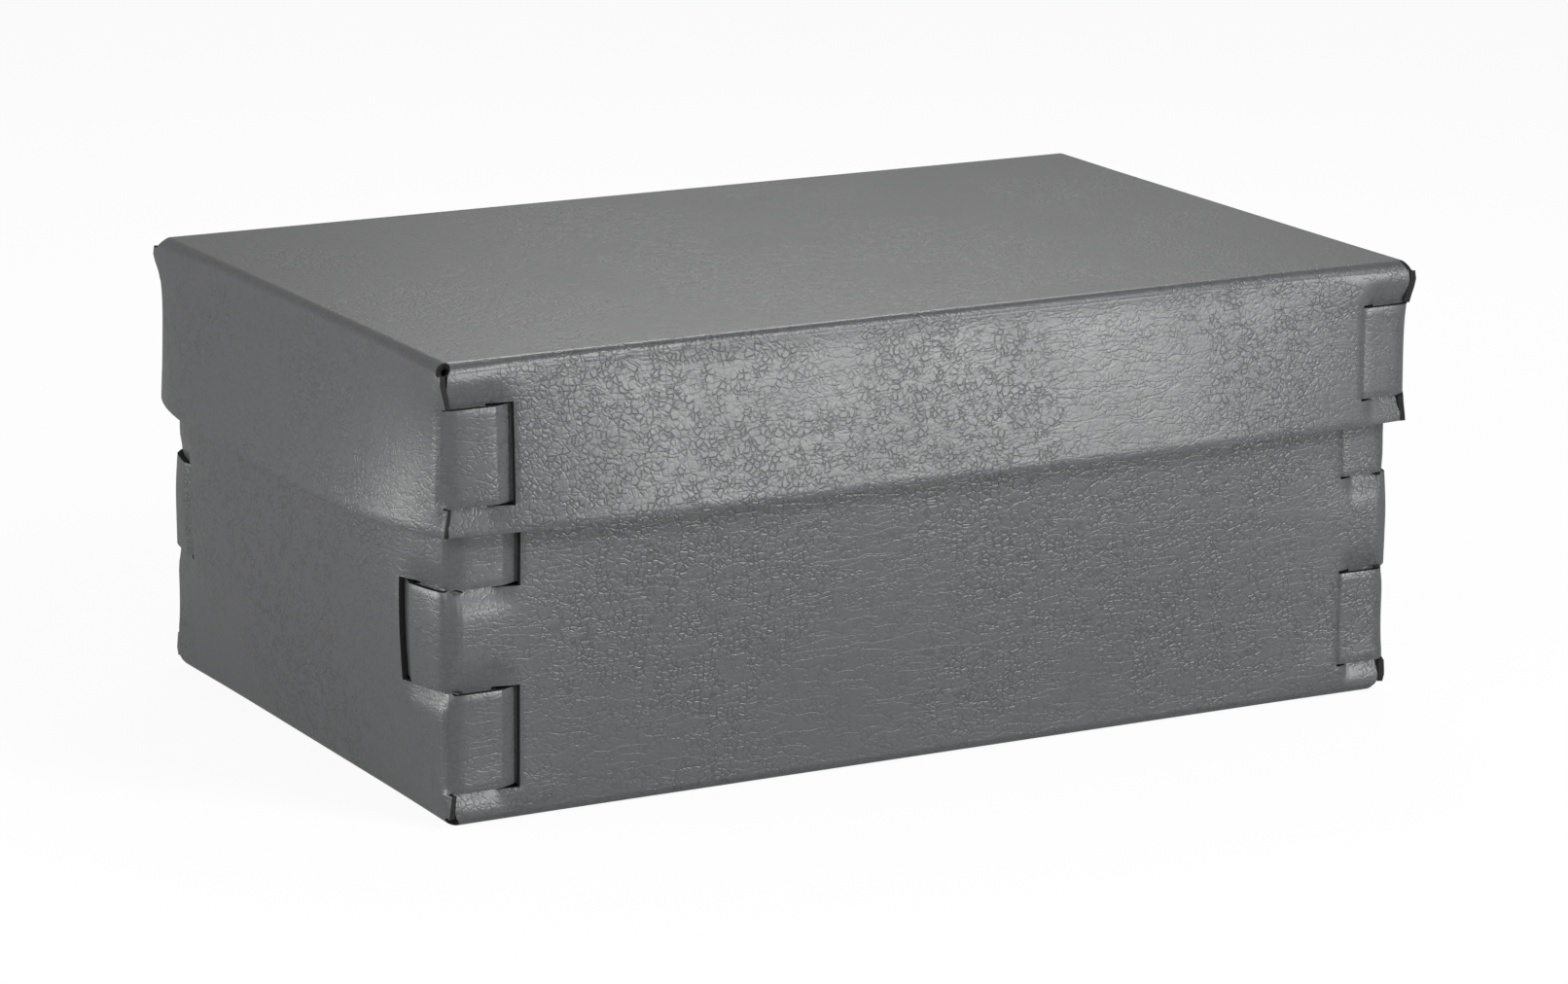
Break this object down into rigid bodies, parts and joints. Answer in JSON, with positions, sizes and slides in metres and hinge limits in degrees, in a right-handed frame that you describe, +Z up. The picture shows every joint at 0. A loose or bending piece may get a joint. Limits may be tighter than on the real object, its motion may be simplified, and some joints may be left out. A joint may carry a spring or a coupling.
{
  "type": "archival box",
  "caption": "Lidded storage box of folded bonded leather, its corners locked by interlaced tabs and slots, with a deep lift-off lid.",
  "frame": {"origin": "on the table under the middle of the box", "axes": "+X along the long sides, +Y across from the front side wall to the back one, +Z up out of the lid"},
  "size_m": [0.383, 0.232, 0.15],
  "materials": {
    "base_leather": "satin pebbled grain, dark cut edges",
    "lid_leather": "satin pebbled grain, dark cut edges"
  },
  "bodies": {
    "base": {"base": "base_leather"},
    "lid": {"lid": "lid_leather"}
  },
  "joints": [
    {"name": "lid_lift", "type": "slide", "parent": "base", "child": "lid", "axis": [0, 0, 1], "range_m": [0, 0.08]}
  ]
}
